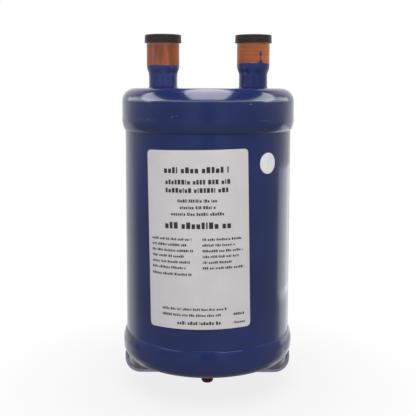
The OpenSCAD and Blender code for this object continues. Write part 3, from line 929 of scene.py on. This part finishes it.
# On their own: name, place, direction, width, height, brightness.
SINGLE_LAMPS = [
    ("left_wall_panel", (-0.7, 0.09, 0.46), (1, 0, 0), 0.52, 0.18, 0.2),
    ("right_wall_panel", (0.7, 0.09, 0.46), (-1, 0, 0), 0.52, 0.18, 0.2),
    ("right_low_panel", (0.0925, 0.016, 0.025), (-0.956, -0.293, 0), 0.05, 0.07, 0.07),
    ("left_foot_light", (-0.25, -0.45, 0.06), (0.195, 0.45, -0.05), 0.2, 0.1, 2.5),
    ("right_foot_light", (0.25, -0.45, 0.06), (-0.195, 0.45, -0.05), 0.2, 0.1, 2.5),
]
# In a ring round the vessel: name, angle from the front, width, lowest and highest point, brightness.
RING_RADIUS = 0.4
SLIVERS = [("left_sliver", -55, 0.26, 0.3, 0.4, 0.42), ("right_sliver", 32, 0.27, 0.3, 0.4, 0.42)]
# Strips of the ring, one over the other: angle, upper brightness, lowest point, lower brightness.
STRIPS = ((-100, 0.3, 0.24, 0.3), (-50, 0.45, 0.262, 0.2), (0, 0.45, 0.262, 0.15),
          (50, 0.45, 0.262, 0.2), (100, 0.3, 0.24, 0.3))
STRIP_WIDTH, STRIP_JOINT, STRIP_TOP = 0.373, 0.284, 0.334
# Brightness of the room in reflections, from straight ahead of the vessel to straight behind it.
ROOM_WALLS = (
    (0.0, 0.12), (0.025, 0.16), (0.07, 0.36), (0.13, 0.38), (0.2, 0.27), (0.33, 0.26), (0.46, 0.33),
    (0.57, 0.5), (0.64, 0.62), (0.72, 0.88), (0.79, 1.0),
)


class ACCUMULATOR_OT_stage(bpy.types.Operator):
    """Sets up the floor, the light and the camera"""
    bl_idname = "accumulator.stage"
    bl_label = "Stage"

    def softbox(self, name, place, aim, width, height, power):
        """Adds a rectangular lamp that faces a point."""
        deselect()
        bpy.ops.object.light_add(type="AREA", location=place)
        lamp = bpy.context.object
        lamp.name = name
        lamp.data.shape = "RECTANGLE"
        lamp.data.size = width
        lamp.data.size_y = height
        lamp.data.energy = power
        lamp.visible_camera = False
        away = [b - a for a, b in zip(place, aim)]
        flat = math.hypot(away[0], away[1])
        lamp.rotation_euler = (math.atan2(flat, -away[2]), 0, math.atan2(-away[0], away[1]))
        return lamp

    def linked_lamps(self, settings):
        """Hangs the lamps that are linked to a group of pieces."""
        groups = {}
        for kind, names in LAMP_GROUPS.items():
            groups[kind] = bpy.data.collections.new(kind + "_mirrors")
            for name in names:
                groups[kind].objects.link(bpy.data.objects["accumulator_" + name])
        lamps = []
        for name, x, width, near, far, level in CEILING_PANELS:
            y = (near + far) / 2
            place = (x, y, CEILING_HEIGHT + CEILING_SLOPE * (y + CEILING_FRONT))
            lamps.append((name, place, (0, CEILING_SLOPE, -1), width,
                          (far - near) * math.hypot(1, CEILING_SLOPE), level))
        lamps += SINGLE_LAMPS
        ring = list(SLIVERS)
        for angle, high, low, dim in STRIPS:
            ring += [("high_strip_%d" % angle, angle, STRIP_WIDTH, STRIP_JOINT, STRIP_TOP, high),
                     ("low_strip_%d" % angle, angle, STRIP_WIDTH, low, STRIP_JOINT, dim)]
        for name, angle, width, bottom, top, level in ring:
            turn = math.radians(angle)
            place = (RING_RADIUS * math.sin(turn), -RING_RADIUS * math.cos(turn), (bottom + top) / 2)
            lamps.append((name, place, (-math.sin(turn), math.cos(turn), 0), width, top - bottom, level))
        for name, place, facing, width, height, level in lamps:
            aim = [a + b for a, b in zip(place, facing)]
            power = settings.ceiling * level * math.pi * width * height
            lamp = self.softbox(name, place, aim, width, height, power)
            lamp.visible_diffuse = "foot" in name
            lamp.visible_glossy = "foot" not in name
            lamp.light_linking.receiver_collection = next(
                group for kind, group in groups.items() if kind in name)

    def light_paths(self, new):
        """Outputs of the light path, and whether a ray comes from gloss or glass."""
        path = new("LightPath").outputs
        return path, new("Math", {
            0: path["Is Glossy Ray"], 1: path["Is Transmission Ray"]}, operation="MAXIMUM")

    def lay_floor(self):
        """Lays the paper that the object stands over."""
        floor = add("stage_floor", bpy.ops.mesh.primitive_plane_add, size=3,
                    location=(0, 0, CAD_BOX[0][2] - 0.2 * MM))
        settle(floor)
        # Matt white paper roll: white to the camera with the object's shadow near it. In reflections it
        # is white behind the object and grey in front of it, because the front of the room is dark.
        paper, new, shader, place = surface("Matt white paper", Roughness=0.9)
        connect(shader, {"Base Color": (0.5, 0.5, 0.5)})
        away = new("VectorMath", {0: place}, operation="LENGTH")
        near = new("MapRange", {
            "Value": away, "From Min": 0.06, "From Max": 0.2, "To Min": 0.82, "To Max": 1.0})
        xyz = new("SeparateXYZ", {"Vector": place}).outputs
        aside = new("Math", {0: xyz["X"]}, operation="ABSOLUTE")
        round_side = new("MapRange", {
            "Value": aside, "From Min": 0.04, "From Max": 0.08, "To Max": 0.08})
        depth = new("Math", {0: xyz["Y"], 1: round_side}, operation="ADD")
        slant = new("Math", {0: depth, 1: aside}, operation="DIVIDE")
        behind = new("MapRange", {
            "Value": slant, "From Min": 0.4, "From Max": 0.8, "To Min": 0.36, "To Max": 1.0})
        path, shiny = self.light_paths(new)
        bright = new("Math", {0: path["Is Camera Ray"], 1: near, 2: shiny}, operation="MULTIPLY_ADD")
        strength = new("Math", {0: path["Is Camera Ray"], 1: behind}, operation="MAXIMUM")
        white = new("Emission", {"Strength": strength})
        sheet = new("MixShader", {0: bright, 1: shader, 2: white})
        connect(paper.node_tree.nodes["Material Output"], {"Surface": sheet})
        floor.data.materials.append(paper)

    def light_room(self, scene, settings):
        """Makes the room white to the camera, and in reflections dark ahead and white behind."""
        world = scene.world or bpy.data.worlds.new("Room")
        scene.world = world
        world.use_nodes = True
        new = functools.partial(node, world.node_tree)
        sky = new("TexCoord").outputs["Generated"]
        xyz = new("SeparateXYZ", {"Vector": sky}).outputs
        aside = new("Math", {0: xyz["X"]}, operation="ABSOLUTE")
        ahead = new("Math", {0: xyz["Y"], 1: -1.0}, operation="MULTIPLY")
        turn = new("Math", {0: aside, 1: ahead}, operation="ARCTAN2")
        half_turn = new("MapRange", {"Value": turn, "From Max": math.pi})
        walls = new("ValToRGB", {"Fac": half_turn}, ROOM_WALLS)
        overhead = new("MapRange", {"Value": xyz["Z"], "From Min": 0.58, "From Max": 0.72})
        seen = new("Mix", {SHARE: overhead, FROM: walls, TO: 0.05}, data_type="FLOAT")
        path, shiny = self.light_paths(new)
        room = new("Mix", {
            SHARE: shiny, FROM_COLOUR: (settings.fill,) * 3, TO_COLOUR: seen}, data_type="RGBA")
        white = new("Mix", {
            SHARE: path["Is Camera Ray"], FROM_COLOUR: room, TO_COLOUR: (1, 1, 1)}, data_type="RGBA")
        connect(world.node_tree.nodes["Background"], {"Color": white})

    def execute(self, context):
        settings = context.scene.accumulator_stage
        scene = context.scene
        scene.view_settings.view_transform = "Standard"
        self.lay_floor()
        key = self.softbox("key_softbox", (0, -0.75, 1.15), (0, 0, 0.15), 0.95, 0.7, settings.key)
        key.visible_glossy = False
        self.softbox("right_strip", (0.225, 0.15, 0.07), (0, 0, 0.07), 0.2, 0.145, settings.strip)
        self.linked_lamps(settings)
        self.light_room(scene, settings)

        deselect()
        bpy.ops.object.camera_add(
            location=settings.camera, rotation=(math.pi / 2 - settings.pitch, settings.roll, 0))
        camera = bpy.context.object
        camera.data.lens = settings.lens
        camera.data.shift_x, camera.data.shift_y = settings.shift
        scene.camera = camera
        return {"FINISHED"}


class ACCUMULATOR_PT_pieces(bpy.types.Panel):
    """Lists the pieces in the order in which they are made"""
    bl_idname = "ACCUMULATOR_PT_pieces"
    bl_label = "Suction line accumulator"
    bl_space_type = "VIEW_3D"
    bl_region_type = "UI"
    bl_category = "Accumulator"

    def draw(self, context):
        for step in STEPS:
            self.layout.operator(step.bl_idname)
        for group in (context.scene.accumulator_sizes, context.scene.accumulator_colours,
                      context.scene.accumulator_stage):
            column = self.layout.column(align=True)
            for key in group.bl_rna.properties.keys():
                if key not in {"rna_type", "name"}:
                    column.prop(group, key)


STEPS = (
    ACCUMULATOR_OT_vessel, ACCUMULATOR_OT_lap_welds, ACCUMULATOR_OT_connections, ACCUMULATOR_OT_foot,
    ACCUMULATOR_OT_bolt, ACCUMULATOR_OT_transit_caps, ACCUMULATOR_OT_label, ACCUMULATOR_OT_sticker,
    ACCUMULATOR_OT_inner_fittings, ACCUMULATOR_OT_stage,
)
GROUPS = (AccumulatorSizes, AccumulatorColours, AccumulatorStage)


def register():
    """Registers the settings, the operators and the panel."""
    for kind in GROUPS + STEPS + (ACCUMULATOR_PT_pieces,):
        bpy.utils.register_class(kind)
    bpy.types.Scene.accumulator_sizes = PointerProperty(type=AccumulatorSizes)
    bpy.types.Scene.accumulator_colours = PointerProperty(type=AccumulatorColours)
    bpy.types.Scene.accumulator_stage = PointerProperty(type=AccumulatorStage)


def unregister():
    """Takes the settings, the operators and the panel away again."""
    for key in ("accumulator_stage", "accumulator_colours", "accumulator_sizes"):
        delattr(bpy.types.Scene, key)
    for kind in reversed(GROUPS + STEPS + (ACCUMULATOR_PT_pieces,)):
        bpy.utils.unregister_class(kind)


def main():
    """Makes every piece and the stage."""
    register()
    bpy.ops.accumulator.vessel()
    bpy.ops.accumulator.lap_welds()
    bpy.ops.accumulator.connections()
    bpy.ops.accumulator.foot()
    bpy.ops.accumulator.bolt()
    bpy.ops.accumulator.transit_caps()
    bpy.ops.accumulator.label()
    bpy.ops.accumulator.sticker()
    bpy.ops.accumulator.inner_fittings()
    bpy.ops.accumulator.stage()


if __name__ == "__main__":
    main()
